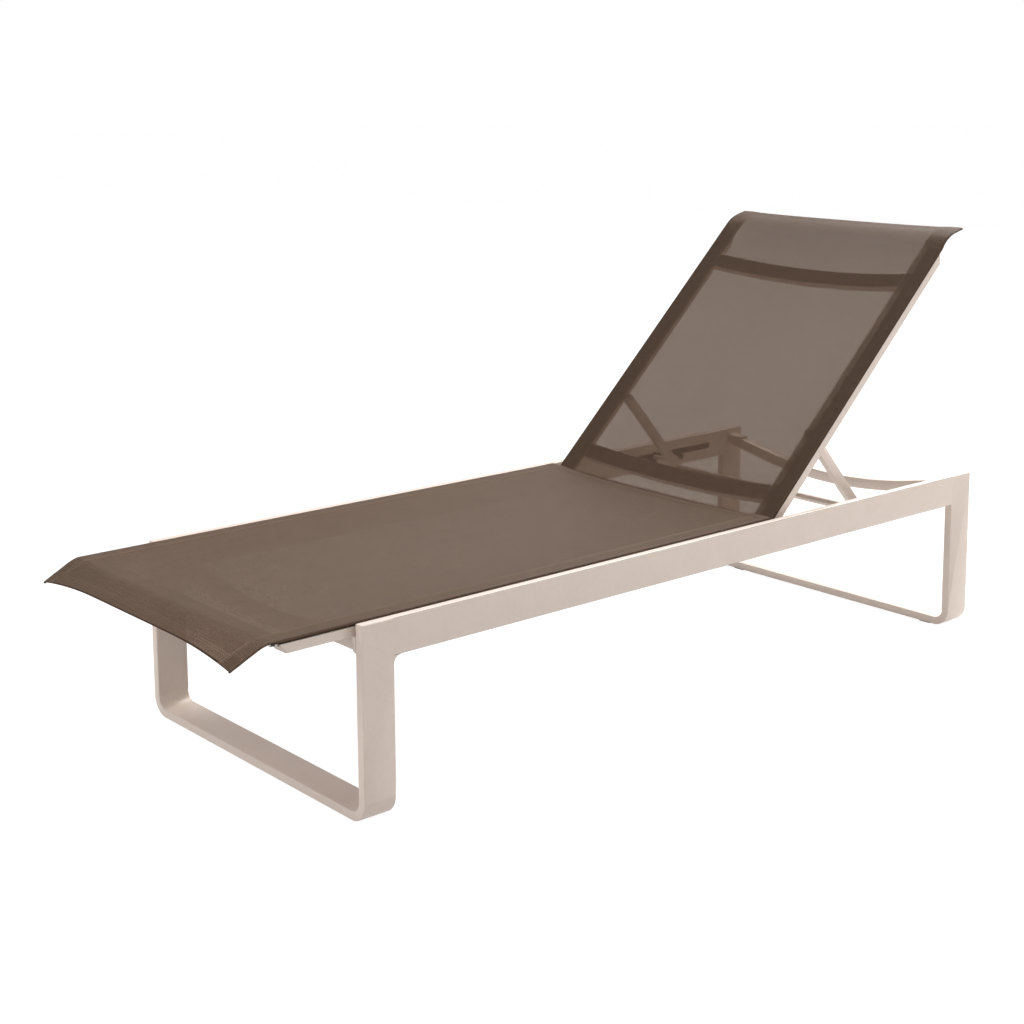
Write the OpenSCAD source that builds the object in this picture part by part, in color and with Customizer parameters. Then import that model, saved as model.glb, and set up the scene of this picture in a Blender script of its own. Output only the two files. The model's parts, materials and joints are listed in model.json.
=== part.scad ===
// Sling sun lounger with an adjustable back, in millimetres.
// Two bent legs and two side rails make the frame. Slim rails inside it hold the slings by their
// edge splines. The back swings on two bolts, and a strut frame props it in the side rails' slots.
// Inside the modules X runs from the front leg's foot side to the head end, Y across the lounger
// and Z up from the underside of the floor bars. The finished part is centred on its footprint.

/* [Frame] */
// Length of the frame over its end legs
frame_len = 1680; // [1560:10:1900]
// Width of the frame over the side rails
frame_w = 708; // [620:4:800]
// Height of the side rails above the underside of the floor bars
frame_h = 350; // [300:5:420]
// Thickness of the flat tube, across the lounger
tube_t = 17; // [16:0.5:24]
// Width of the leg tube, along the lounger
leg_w = 66; // [56:2:80]
// Height of the side rails
rail_h = 65; // [60:1:80]
// Wall thickness of the frame's tubes
tube_wall = 2; // [1.5:0.25:2.5]
// Outer radius of the bends between the legs and the floor bars
bend_r = 38; // [25:1:60]
// Radius of the corner under the front of the side rails
corner_r = 15; // [6:1:24]

/* [Glides] */
// Height of the glides under the floor bars
glide_h = 4; // [2:0.5:8]
// Length of a glide along the floor bar
glide_l = 30; // [20:1:60]
// Distance from the side of the frame to a glide's centre
glide_from_side = 69; // [60:1:120]

/* [Cross bars] */
// Height of a cross bar
bar_h = 24; // [20:1:36]
// Thickness of a cross bar along the lounger
bar_t = 26; // [18:1:30]
// Wall thickness of the cross bars
bar_wall = 1.5; // [1:0.25:2.5]
// Radius of the bow in the middle of a cross bar
bar_bow_r = 1150; // [900:10:1500]
// Angle of the rear cross bar's straight ends above level
bar_angle = 11.5; // [8:0.5:12]
// Distance from the end of the frame to a cross bar's centre
bar_inset = 36; // [24:1:38]
// Depth of the rear cross bar's middle below the side rails' top
rear_bar_drop = 57.5; // [56:0.5:70]
// Distance from the middle at which the front cross bar's level ends start
bar_level_from = 245; // [220:5:280]
// Radius of the bends into the front cross bar's level ends
bar_level_r = 120; // [60:10:200]
// Gap between the front cross bar's level ends and the seat rails
front_bar_gap = 13; // [10:0.5:20]
// Thickness of the front cross bar's end plates, across the lounger
bar_plate_t = 8; // [6:0.5:10]
// How far the front cross bar's end plates reach down over the bar
bar_plate_lap = 15; // [3:0.5:18]

/* [Sling rails] */
// Width of a sling rail
srail_w = 32; // [28:1:40]
// Height of a sling rail
srail_h = 24; // [23:1:30]
// Wall thickness of a sling rail
srail_wall = 2; // [1.5:0.25:2.5]
// Radius of the round channel that holds the spline
channel_r = 3.5; // [3:0.1:3.8]
// Height of the channel's mouth in the rail's outer side
mouth_h = 3.2; // [2.4:0.1:3.6]
// Gap between a seat rail and the side rail, which the spacers fill
seat_rail_gap = 6; // [4:0.5:8]
// Height of the seat rails' top above the side rails' top
seat_rail_lift = 1; // [0:0.5:4]
// How far the seat rails stand out past the front leg
foot_reach = 150; // [100:5:200]
// Undercut of the seat rails' foot ends and the back rails' top ends
foot_undercut = 21; // [10:1:30]
// Number of screws along each seat rail
screw_count = 5; // [4:1:7]

/* [Slings] */
// Thickness of the sling cloth
cloth_t = 1; // [0.8:0.1:1.2]
// Radius of the spline rod in the sling's edge
spline_r = 2.8; // [2.4:0.1:2.8]
// Sag of the seat sling between its rails
seat_sag = 8; // [4:1:14]
// Sag of the back sling between its rails
back_sag = 9; // [4:1:14]
// Radius that a sling's free end bends over
flap_r = 80; // [40:1:100]
// Angle that the seat sling's free end hangs at, in degrees
seat_flap_angle = 17.5; // [10:0.5:30]
// Angle that the back sling's free end hangs at, in degrees
back_flap_angle = 30; // [20:1:40]
// How far the seat sling's corners hang below the middle of its free end
corner_droop = 16.5; // [0:0.5:20]
// Flat stretch of the seat sling past its rails
seat_flap = 12; // [8:1:30]
// Flat stretch of the back sling past its rails
back_flap = 24; // [15:1:40]
// Straight stretch of the seat sling past its bend
seat_tail = 47; // [30:1:60]
// Straight stretch of the back sling past its bend
back_tail = 26; // [20:1:50]

/* [Backrest] */
// Distance from the foot side of the front leg to the backrest's pivot
pivot_x = 1066; // [1000:2:1080]
// Angle of the backrest above level as shown, in degrees
back_angle = 43.6; // [36:0.2:50]
// Lowest angle of the backrest, where it lies on its rest pads
low_angle = 0.8; // [0.8:0.1:3]
// Highest angle of the backrest
high_angle = 63; // [61:0.5:65]
// Distance from the pivot to the top end of the back rails
back_len = 746; // [710:2:790]
// Gap between the back rails and the side rails, which the pivot bushes fill
back_rail_gap = 15; // [12:0.5:20]
// Width of the backrest's bars, along the back rails
back_bar_w = 38; // [30:1:44]
// Thickness of the backrest's bars
back_bar_t = 18; // [12:1:20]
// Radius of the bow in the backrest's bars
back_bow_r = 1680; // [1400:20:2600]
// Distance from the pivot to the lower bar's centre
lower_bar_at = 66; // [56:1:90]
// Distance from the top end of the back rails to the upper bar's centre
upper_bar_drop = 89; // [70:1:160]

/* [Strut frame] */
// Distance from the backrest's pivot to the strut's pivot, along the back rail
strut_at = 228; // [220:1:240]
// Width of a strut
strut_w = 20; // [16:1:22]
// Thickness of a strut across the lounger
strut_t = 15; // [10:1:18]
// How far the struts' round upper ends lie below the top of the back rails
strut_drop = 2; // [1:0.5:4]
// How far the struts reach on past the slot pins
strut_past = 25; // [20:1:30]
// Radius of the pins that ride in the slots
slot_pin_r = 5.5; // [4.5:0.25:5.75]
// Radius of the cross tube between the struts
cross_r = 8; // [6:0.25:9]
// Wall thickness of the cross tube
cross_wall = 1.5; // [1:0.25:2]

/* [Slots] */
// Width of the slots in the side rails
slot_w = 15; // [14:0.25:16]
// How far the notches reach down from the slot
notch_drop = 15.5; // [10:0.5:18]
// Lean of the notches from upright, in degrees
notch_lean = 45; // [30:1:50]
// Play at the foot end of the slot
slot_play_foot = 5.5; // [3:0.5:12]
// Play at the head end of the slot
slot_play_head = 34; // [5:1:40]

/* [Fasteners] */
// Radius of the pivot bolts
pivot_bolt_r = 5; // [4:0.5:6]
// Radius of the strut bolts
strut_bolt_r = 3; // [2.5:0.25:4]
// Radius of the seat rail screws
screw_r = 3; // [2.5:0.25:3.5]
// Radial clearance of a bolt that a part turns on
running_gap = 0.05; // [0.02:0.01:0.1]
// Radial clearance of a screw in its hole
screw_gap = 0.2; // [0.1:0.05:0.4]

/* [Hidden] */

$fn = 48;

// Colours as the photograph shows them
sand = [0.81, 0.75, 0.70];
dark_mesh = [0.48, 0.40, 0.35];
dark_plastic = [0.16, 0.15, 0.14];
pale_plastic = [0.72, 0.68, 0.63];
steel = [0.70, 0.70, 0.70];

// Overrun of every cut past the face it leaves
cut = 1;
// Least gap left between cloth and what it lies on
cloth_gap = 0.3;
// Gap between faces that only just meet
seat_gap = 0.1;

// End plates of the front cross bar
plate_round_share = 0.75;
bar_plate_r = plate_round_share * bar_plate_t;
bar_plate_h = front_bar_gap - seat_gap + bar_plate_lap;

// Side rail and its slot
side_y = frame_w / 2;
inner_y = side_y - tube_t;
rail_len = frame_len - 2 * leg_w;
slot_z = frame_h - rail_h / 2;
slot_r = slot_w / 2;

// Sling rails: outer side of the seat rail, and the height of its top
seat_y = inner_y - seat_rail_gap;
seat_top = frame_h + seat_rail_lift;
channel_depth = srail_wall + channel_r;
channel_in = channel_r + srail_wall;
channel_low = channel_depth + channel_r;
hollow_from = channel_in + channel_r + srail_wall;
seat_foot_x = -foot_reach;

// Backrest in its own plane: u runs up the rail from the pivot, v stands square to it
back_y = inner_y - back_rail_gap;
back_top_v = seat_top - slot_z;
back_under_v = back_top_v - srail_h;
back_start = 0;
strut_nut_r = 4.8;
strut_v = back_top_v - strut_w / 2 - strut_drop;

// Where the slot pin stands for a given angle of the backrest
function pin_x(angle) = pivot_x + 2 * (strut_at * cos(angle) - strut_v * sin(angle));

// Backrest angles that the three notches hold
notch_angles = [58.4, 42.9, 24.6];
slot_foot_x = pin_x(high_angle) - slot_play_foot;
slot_head_x = pin_x(low_angle) + slot_play_head;

// The seat rails end where the raised backrest still clears them
plug_t = 2.5;
sweep_gap = 4;
back_sweep = back_top_v * sin(high_angle) - back_start * cos(high_angle);
seat_head_x = pivot_x - back_sweep - plug_t - sweep_gap;

// Pivot fittings
lug_r = 14;
lug_t = 8;
lug_angle = 45;
bolt_head_h = 5;
bolt_head_r = 8;
pivot_nut_h = 6;
bush_r = 9;
strut_head_h = 4;
strut_head_r = 5.5;
strut_spacer_r = 8;
strut_spacer_t = 8;
strut_nut_h = 6;
strut_out_y = back_y - srail_w - strut_spacer_t;
strut_in_y = strut_out_y - strut_t;

// Screws that hold the seat rails, with their spacers and nuts
screw_head_r = 5.5;
screw_head_h = 3.5;
spacer_r = 8;
screw_nut_r = 4.5;
screw_nut_h = 8;
screw_inset = 40;
screw_z = seat_top - (channel_low + srail_h) / 2;
screw_first_x = leg_w + screw_inset;
screw_step = (seat_head_x - screw_inset - screw_first_x) / (screw_count - 1);

// Slot bushes on the ends of the slot pins
slot_gap = 0.2;
slot_bush_r = slot_r - slot_gap;
flange_r = 11;
flange_t = 3.5;
flange_gap = 0.5;
pin_end_gap = 2;
pin_end_y = side_y - tube_wall - pin_end_gap;

// Distances from a glide to the edges of its floor bar, and from a rest pad to its rail's sides
glide_inset = 8;
pad_inset = 3;

// Steps along a bow, and round and past the bend of a sling's free end
bow_steps = 20;
bend_steps = 4;
tail_steps = 3;

// Helpers

// Rise of a bowed bar above its middle at a distance y from it, with straight sloping ends
function bow_rise(y, r, slope) =
    abs(y) <= r * sin(slope)
        ? r - sqrt(r * r - y * y)
        : r * (1 - cos(slope)) + (abs(y) - r * sin(slope)) * tan(slope);

// Rise of the front bar, whose bow turns back through a second bend into level ends
function level_rise() =
    bar_bow_r + bar_level_r - sqrt(pow(bar_bow_r + bar_level_r, 2) - pow(bar_level_from, 2));
function front_rise(y) =
    abs(y) <= bar_bow_r * bar_level_from / (bar_bow_r + bar_level_r)
        ? bar_bow_r - sqrt(bar_bow_r * bar_bow_r - y * y)
        : level_rise() - bar_level_r
            + sqrt(bar_level_r * bar_level_r - pow(max(0, bar_level_from - abs(y)), 2));

// Outline of a bowed bar between two heights measured from its top line, given as points
module bow_outline(line, high, low) {
    top_line = [for (p = line) p + [0, high]];
    low_line = [for (i = [len(line) - 1:-1:0]) line[i] + [0, low]];
    polygon(concat(top_line, low_line));
}

// Bowed tube across the lounger: centre at x, its middle's top at z
module bowed_tube(x, z, line, width, height) {
    last = line[len(line) - 1];
    over = cut / last[0];
    longer = [for (p = line) [p[0] * (1 + over), p[1]]];
    translate([x - width / 2, 0, z])
        rotate([90, 0, 90])
            difference() {
                linear_extrude(width)
                    bow_outline(line, 0, -height);
                translate([0, 0, bar_wall])
                    linear_extrude(width - 2 * bar_wall)
                        bow_outline(longer, -bar_wall, bar_wall - height);
            }
}

// Places across the lounger where a bowed bar's outline has its points
function bow_places(half) = [for (i = [-bow_steps:bow_steps]) half * i / bow_steps];

// Plate across the lounger, from an outline in X and Z, between two places in Y
module plate_y(y0, y1) {
    translate([0, y1, 0])
        rotate([90, 0, 0])
            linear_extrude(y1 - y0)
                children();
}

// Round rod across the lounger
module rod_y(x, z, r, y0, y1) {
    translate([x, y1, z])
        rotate([90, 0, 0])
            cylinder(r = r, h = y1 - y0);
}

// Ring across the lounger
module ring_y(x, z, r, bore_r, y0, y1) {
    difference() {
        rod_y(x, z, r, y0, y1);
        rod_y(x, z, bore_r, y0 - cut, y1 + cut);
    }
}

// Bar from p to q in X and Z, round at q and, if asked, at p too
module round_bar(p, q, r, both_ends) {
    d = q - p;
    translate(p)
        rotate(atan2(d[1], d[0])) {
            translate([0, -r])
                square([norm(d), 2 * r]);
            translate([norm(d), 0])
                circle(r);
            if (both_ends)
                circle(r);
        }
}

// Region with two round lower corners, from height low up to high
module round_bottom(half, low, high, r) {
    translate([-half, low + r])
        square([2 * half, high - low - r]);
    translate([-half + r, low])
        square([2 * (half - r), 2 * r]);
    for (side = [-1, 1])
        translate([side * (half - r), low + r])
            circle(r);
}

// The right-hand piece on the +Y side, or its mirror image on the left
module on_side(side) {
    if (side > 0) {
        children();
    } else {
        mirror([0, 1, 0])
            children();
    }
}

// Frame axes to the finished part: centred on the footprint, standing on its glides
module placed() {
    flap_out = foot_reach + seat_flap + (flap_r + cloth_gap + cloth_t) * sin(seat_flap_angle)
        + seat_tail * cos(seat_flap_angle);
    translate([(flap_out - frame_len) / 2, 0, glide_h])
        children();
}

// Backrest plane to frame axes
module on_back() {
    translate([pivot_x, 0, slot_z])
        rotate([0, -back_angle, 0])
            children();
}

// Frame

// Slot and notches of a side rail, in X and Z
module slot_outline() {
    round_bar([slot_foot_x, slot_z], [slot_head_x, slot_z], slot_r, true);
    for (angle = notch_angles) {
        seat = [pin_x(angle), slot_z - notch_drop];
        round_bar([seat[0] - notch_drop * tan(notch_lean), slot_z], seat, slot_r, false);
    }
}

// Hollow side rail with its slot, pivot hole and screw holes
module side_rail(side) {
    color(sand)
        placed()
            on_side(side)
                difference() {
                    translate([leg_w, inner_y, frame_h - rail_h])
                        cube([rail_len, tube_t, rail_h]);
                    translate([leg_w - cut, inner_y + tube_wall, frame_h - rail_h + tube_wall])
                        cube([rail_len + 2 * cut, tube_t - 2 * tube_wall, rail_h - 2 * tube_wall]);
                    plate_y(inner_y - cut, inner_y + tube_wall + cut)
                        slot_outline();
                    rod_y(pivot_x, slot_z, pivot_bolt_r + screw_gap,
                          inner_y - cut, inner_y + tube_wall + cut);
                    for (i = [0:screw_count - 1])
                        rod_y(screw_first_x + i * screw_step, screw_z, screw_r + screw_gap,
                              inner_y - cut, inner_y + tube_wall + cut);
                }
}

// Bent flat tube: two legs and the floor bar, closed at the top
module leg_frame(x) {
    translate([x, 0, 0])
        rotate([90, 0, 90])
            difference() {
                linear_extrude(leg_w)
                    difference() {
                        round_bottom(side_y, 0, frame_h, bend_r);
                        round_bottom(inner_y, tube_t, frame_h + cut, bend_r - tube_t);
                    }
                translate([0, 0, tube_wall])
                    linear_extrude(leg_w - 2 * tube_wall)
                        difference() {
                            round_bottom(side_y - tube_wall, tube_wall, frame_h - tube_wall,
                                         bend_r - tube_wall);
                            round_bottom(inner_y + tube_wall, tube_t - tube_wall, frame_h + cut,
                                         bend_r - tube_t + tube_wall);
                        }
            }
}

// Solid fillet that rounds the corner between a front leg and its side rail
module corner_fillet(side) {
    on_side(side)
        plate_y(inner_y, side_y)
            difference() {
                translate([leg_w, frame_h - rail_h - corner_r])
                    square([corner_r, corner_r]);
                translate([leg_w + corner_r, frame_h - rail_h - corner_r])
                    circle(corner_r);
            }
}

module front_leg_frame() {
    color(sand)
        placed() {
            leg_frame(0);
            corner_fillet(1);
            corner_fillet(-1);
        }
}

module rear_leg_frame() {
    color(sand)
        placed()
            leg_frame(frame_len - leg_w);
}

// Front bar with its level ends, and end plates that reach up the legs to the seat rails
module front_cross_bar() {
    plate_top = seat_top - srail_h - seat_gap;
    color(sand)
        placed() {
            bowed_tube(bar_inset, seat_top - srail_h - front_bar_gap - level_rise(),
                       [for (y = bow_places(inner_y)) [y, front_rise(y)]], bar_t, bar_h);
            for (side = [-1, 1])
                on_side(side)
                    rotate([90, 0, 90])
                        linear_extrude(leg_w)
                            translate([inner_y - bar_plate_t, plate_top - bar_plate_h])
                                difference() {
                                    square([bar_plate_t, bar_plate_h]);
                                    difference() {
                                        translate([-cut, -cut])
                                            square([bar_plate_r + cut, bar_plate_r + cut]);
                                        translate([bar_plate_r, bar_plate_r])
                                            circle(bar_plate_r);
                                    }
                                }
        }
}

module rear_cross_bar() {
    color(sand)
        placed()
            bowed_tube(frame_len - bar_inset, frame_h - rear_bar_drop,
                       [for (y = bow_places(inner_y)) [y, bow_rise(y, bar_bow_r, bar_angle)]],
                       bar_t, bar_h);
}

// Pair of glides under a floor bar
module glides(x) {
    color(dark_plastic)
        placed()
            for (side = [-1, 1])
                translate([x + glide_inset, side * (side_y - glide_from_side) - glide_l / 2, -glide_h])
                    cube([leg_w - 2 * glide_inset, glide_l, glide_h]);
}

module front_glides() {
    glides(0);
}

module rear_glides() {
    glides(frame_len - leg_w);
}

// Pads on the rear cross bar, where the lowered back rails come to lie
module rest_pads() {
    reach = frame_len - bar_inset - pivot_x - bar_t / 2;
    top_z = slot_z + back_under_v * cos(low_angle) + reach * sin(low_angle) - cloth_gap;
    ys = [back_y - srail_w + pad_inset, back_y - pad_inset];
    base = [for (y = ys) frame_h - rear_bar_drop + bow_rise(y, bar_bow_r, bar_angle)];
    color(pale_plastic)
        placed()
            for (side = [-1, 1])
                on_side(side)
                    translate([frame_len - bar_inset - bar_t / 2, 0, 0])
                        rotate([90, 0, 90])
                            linear_extrude(bar_t)
                                polygon([[ys[0], base[0]], [ys[1], base[1]],
                                         [ys[1], top_z], [ys[0], top_z]]);
}

// Sling rails

// Profile of a sling rail: outer side at 0, inwards to the left, its top at 0
module srail_profile() {
    difference() {
        translate([-srail_w, -srail_h])
            square([srail_w, srail_h]);
        translate([-channel_in, -channel_depth])
            circle(channel_r);
        translate([-channel_in, -channel_depth - mouth_h / 2])
            square([channel_in + cut, mouth_h]);
        translate([srail_wall - srail_w, srail_wall - srail_h])
            square([srail_w - srail_wall - hollow_from, srail_h - 2 * srail_wall]);
        translate([-hollow_from - cut, srail_wall - srail_h])
            square([hollow_from + cut - srail_wall, srail_h - 2 * srail_wall - channel_low]);
    }
}

// Straight sling rail from x0 to x1, its outer side at y and its top at z
module srail(x0, x1, y, z) {
    translate([x0, y, z])
        rotate([90, 0, 90])
            linear_extrude(x1 - x0)
                srail_profile();
}

// Seat rail with its undercut foot end and the holes for its screws
module seat_rail(side) {
    color(sand)
        placed()
            on_side(side)
                difference() {
                    srail(seat_foot_x, seat_head_x, seat_y, seat_top);
                    plate_y(seat_y - srail_w - cut, seat_y + cut)
                        polygon([[seat_foot_x, seat_top],
                                 [seat_foot_x + foot_undercut, seat_top - srail_h],
                                 [seat_foot_x + foot_undercut, seat_top - srail_h - cut],
                                 [seat_foot_x - cut, seat_top - srail_h - cut],
                                 [seat_foot_x - cut, seat_top]]);
                    for (i = [0:screw_count - 1])
                        rod_y(screw_first_x + i * screw_step, screw_z, screw_r + screw_gap,
                              seat_y - srail_w - cut, seat_y + cut);
                }
}

// Plastic plugs on both ends of both seat rails, clear of the spline channel
module seat_rail_plugs() {
    y0 = seat_y - srail_w;
    y1 = seat_y - hollow_from;
    low = seat_top - srail_h;
    color(pale_plastic)
        placed()
            for (side = [-1, 1])
                on_side(side) {
                    plate_y(y0, y1)
                        polygon([[seat_foot_x, seat_top], [seat_foot_x + foot_undercut, low],
                                 [seat_foot_x + foot_undercut - plug_t, low],
                                 [seat_foot_x - plug_t, seat_top]]);
                    translate([seat_head_x, y0, low])
                        cube([plug_t, y1 - y0, srail_h]);
                }
}

// Spacers between the seat rails and the side rails
module seat_rail_spacers() {
    color(dark_plastic)
        placed()
            for (side = [-1, 1], i = [0:screw_count - 1])
                on_side(side)
                    ring_y(screw_first_x + i * screw_step, screw_z, spacer_r, screw_r + screw_gap,
                           seat_y, inner_y);
}

// Screws through the seat rails into the side rails
module seat_rail_screws() {
    color(steel)
        placed()
            for (side = [-1, 1], i = [0:screw_count - 1])
                on_side(side) {
                    x = screw_first_x + i * screw_step;
                    head_y = seat_y - srail_w;
                    rod_y(x, screw_z, screw_r, head_y - cut, inner_y + tube_wall + screw_nut_h);
                    rod_y(x, screw_z, screw_head_r, head_y - screw_head_h, head_y);
                }
}

// Nuts inside the side rails
module seat_rail_nuts() {
    color(steel)
        placed()
            for (side = [-1, 1], i = [0:screw_count - 1])
                on_side(side)
                    ring_y(screw_first_x + i * screw_step, screw_z, screw_nut_r, screw_r,
                           inner_y + tube_wall, inner_y + tube_wall + screw_nut_h);
}

// Spline rod in a seat rail's channel, which ends before the sling bends down
module seat_spline(side) {
    color(pale_plastic)
        placed()
            on_side(side)
                translate([seat_foot_x - seat_flap + spline_r, seat_y - channel_in,
                           seat_top - channel_depth])
                    rotate([0, 90, 0])
                        cylinder(r = spline_r, h = seat_head_x - seat_foot_x + seat_flap - spline_r);
}

// Slings

// Outer and inner side of a sling's cross-section: half of it, from the middle outwards.
// Each point is a distance from the middle and a height over the rails' top.
span_shares = [0, 0.22, 0.42, 0.6, 0.76, 0.89];
bend_share = 0.7;
fold = 2;
tuck = 2.6;

function span_line(y_in, high, sag) =
    [for (s = span_shares) [s * y_in, high - sag * (1 - s * s * s)]];

function outer_half(y_out, y_in, sag) = concat(
    span_line(y_in, cloth_gap + cloth_t, sag),
    [[y_in, cloth_gap + cloth_t],
     [y_out - fold, cloth_gap + cloth_t],
     [y_out + bend_share * (cloth_gap + cloth_t), bend_share * (cloth_gap + cloth_t)],
     [y_out + cloth_gap + cloth_t, -fold],
     [y_out + cloth_gap + cloth_t, -channel_depth - cloth_t / 2],
     [y_out - tuck, -channel_depth - cloth_t / 2]]);

function inner_half(y_out, y_in, sag) = concat(
    span_line(y_in, cloth_gap, sag),
    [[y_in, cloth_gap],
     [y_out - fold, cloth_gap],
     [y_out + bend_share * cloth_gap, bend_share * cloth_gap],
     [y_out + cloth_gap, -fold],
     [y_out + cloth_gap, -channel_depth + cloth_t / 2],
     [y_out - tuck, -channel_depth + cloth_t / 2]]);

// Both halves of a side, from the left edge to the right edge
function whole_side(half) = concat(
    [for (i = [len(half) - 1:-1:1]) [-half[i][0], half[i][1]]],
    half);

// A station of a sling: distance along the flat, angle of bend, distance past the bend, sag, and
// share of the free end done
function flat_stations(length, sag0, sag1, settle, last_sag, shares) =
    [for (s = shares) [s * length, 0, 0,
        s < settle
            ? sag0 + (sag1 - sag0) * s / settle
            : sag1 + (last_sag - sag1) * pow((s - settle) / (shares[len(shares) - 1] - settle), 4),
        0]];

function end_stations(length, angle, tail, last_sag) =
    let (bend = flap_r * angle * PI / 180, whole = bend + tail)
    concat([for (i = [1:bend_steps])
               [length, angle * i / bend_steps, 0, last_sag, bend / whole * i / bend_steps]],
           [for (i = [1:tail_steps])
               [length, angle, tail * i / tail_steps, last_sag,
                (bend + tail * i / tail_steps) / whole]]);

// Place one point of a cross-section at its station
droop_from_share = 0.4;
function hang(y, y_out) =
    pow(max(0, (abs(y) - droop_from_share * y_out) / (y_out - droop_from_share * y_out)), 2);

function placed_point(p, station, y_out, droop) =
    let (a = station[1], tail = station[2])
    [station[0] + (flap_r + p[1]) * sin(a) + tail * cos(a), p[0],
     flap_r * (cos(a) - 1) + p[1] * cos(a) - tail * sin(a)
         - droop * station[4] * min(1, hang(p[0], y_out))];

// Closed thin solid of a sling: u along it, y across it, v up from the rails' top
module sling_solid(stations, y_out, droop) {
    y_in = y_out - srail_w;
    rings = [for (st = stations)
        let (upper = whole_side(outer_half(y_out, y_in, st[3])),
             lower = whole_side(inner_half(y_out, y_in, st[3])))
        concat([for (p = upper) placed_point(p, st, y_out, droop)],
               [for (i = [len(lower) - 1:-1:0]) placed_point(lower[i], st, y_out, droop)])];
    n = len(rings[0]);
    m = len(rings);
    half_n = n / 2;
    points = [for (ring = rings, p = ring) p];
    walls = [for (j = [0:m - 2], i = [0:n - 1])
        let (a = j * n + i, b = j * n + (i + 1) % n)
        each [[a, b, b + n], [a, b + n, a + n]]];
    first_cap = [for (i = [0:half_n - 2])
        each [[i, n - 1 - i, n - 2 - i], [i, n - 2 - i, i + 1]]];
    last = (m - 1) * n;
    last_cap = [for (i = [0:half_n - 2])
        each [[last + i, last + n - 2 - i, last + n - 1 - i],
              [last + i, last + i + 1, last + n - 2 - i]]];
    polyhedron(points, concat(walls, first_cap, last_cap));
}

seat_shares = [0, 0.02, 0.05, 0.1, 0.25, 0.45, 0.65, 0.8, 0.88, 0.94, 1];
back_shares = [0, 0.04, 0.12, 0.3, 0.5, 0.7, 0.84, 0.92, 1];
settle_share = 0.1;
back_end_sag_share = 0.75;
rear_edge_sag = 9;
seat_sling_inset = 8;

module seat_sling() {
    flat_len = seat_head_x - seat_sling_inset - seat_foot_x + seat_flap;
    color(dark_mesh)
        placed()
            translate([seat_head_x - seat_sling_inset, 0, seat_top])
                mirror([1, 0, 0])
                    sling_solid(concat(
                        flat_stations(flat_len, rear_edge_sag, seat_sag, settle_share,
                                      0, seat_shares),
                        end_stations(flat_len, seat_flap_angle, seat_tail, 0)),
                        seat_y, corner_droop);
}

module back_sling() {
    flat_len = back_len - back_start + back_flap;
    end_sag = back_end_sag_share * back_sag;
    color(dark_mesh)
        placed()
            on_back()
                translate([back_start, 0, back_top_v])
                    sling_solid(concat(
                        flat_stations(flat_len, back_sag, back_sag, settle_share,
                                      end_sag, back_shares),
                        end_stations(flat_len, back_flap_angle, back_tail, end_sag)),
                        back_y, 0);
}

// Backrest

// Outline of the pivot lug under a back rail, in u and v
module lug_outline() {
    flank = [lug_r * sin(lug_angle), -lug_r * cos(lug_angle)];
    foot = flank[0] + (back_under_v - flank[1]) / tan(lug_angle);
    circle(lug_r);
    polygon([flank, [foot, back_under_v], [foot, back_under_v + srail_wall],
             [back_start, back_under_v + srail_wall], [-lug_r, 0], [0, 0]]);
}

// Back rail with its pivot lug and the hole for the strut bolt
module back_rail(side) {
    color(sand)
        placed()
            on_back()
                on_side(side)
                    difference() {
                        union() {
                            difference() {
                                srail(back_start, back_len, back_y, back_top_v);
                                plate_y(back_y - srail_w - cut, back_y + cut)
                                    polygon([[back_len, back_top_v],
                                             [back_len - foot_undercut, back_under_v],
                                             [back_len - foot_undercut, back_under_v - cut],
                                             [back_len + cut, back_under_v - cut],
                                             [back_len + cut, back_top_v]]);
                            }
                            plate_y(back_y - lug_t, back_y)
                                lug_outline();
                        }
                        rod_y(0, 0, pivot_bolt_r + running_gap, back_y - lug_t - cut, back_y + cut);
                        rod_y(strut_at, strut_v, strut_bolt_r + screw_gap,
                              back_y - srail_w - cut, back_y - srail_w + srail_wall + cut);
                    }
}

// Bowed bar between the back rails; it bows backwards, away from the sling
module back_bar(at) {
    half = back_y - srail_w;
    line = [for (y = bow_places(half)) [y, bow_rise(y, back_bow_r, bar_angle)]];
    rise = bow_rise(half, back_bow_r, bar_angle);
    color(sand)
        placed()
            on_back()
                bowed_tube(at, back_top_v - srail_wall - rise, line, back_bar_w, back_bar_t);
}

module lower_back_bar() {
    back_bar(lower_bar_at);
}

module upper_back_bar() {
    back_bar(back_len - upper_bar_drop);
}

// Plastic plugs on both ends of both back rails
module back_rail_plugs() {
    y0 = back_y - srail_w;
    y1 = back_y - hollow_from;
    color(pale_plastic)
        placed()
            on_back()
                for (side = [-1, 1])
                    on_side(side) {
                        translate([back_start - plug_t, y0, back_under_v])
                            cube([plug_t, y1 - y0, srail_h]);
                        plate_y(y0, y1)
                            polygon([[back_len, back_top_v],
                                     [back_len - foot_undercut, back_under_v],
                                     [back_len - foot_undercut + plug_t, back_under_v],
                                     [back_len + plug_t, back_top_v]]);
                    }
}

// Spline rod in a back rail's channel
module back_spline(side) {
    color(pale_plastic)
        placed()
            on_back()
                on_side(side)
                    translate([back_start, back_y - channel_in, back_top_v - channel_depth])
                        rotate([0, 90, 0])
                            cylinder(r = spline_r, h = back_len - back_start + back_flap - spline_r);
}

// Bolts that the backrest turns on, fixed in the side rails
module pivot_bolts() {
    color(steel)
        placed()
            for (side = [-1, 1])
                on_side(side) {
                    head_y = back_y - lug_t;
                    rod_y(pivot_x, slot_z, pivot_bolt_r, head_y - cut,
                          inner_y + tube_wall + pivot_nut_h);
                    rod_y(pivot_x, slot_z, bolt_head_r, head_y - bolt_head_h - seat_gap,
                          head_y - seat_gap);
                }
}

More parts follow.
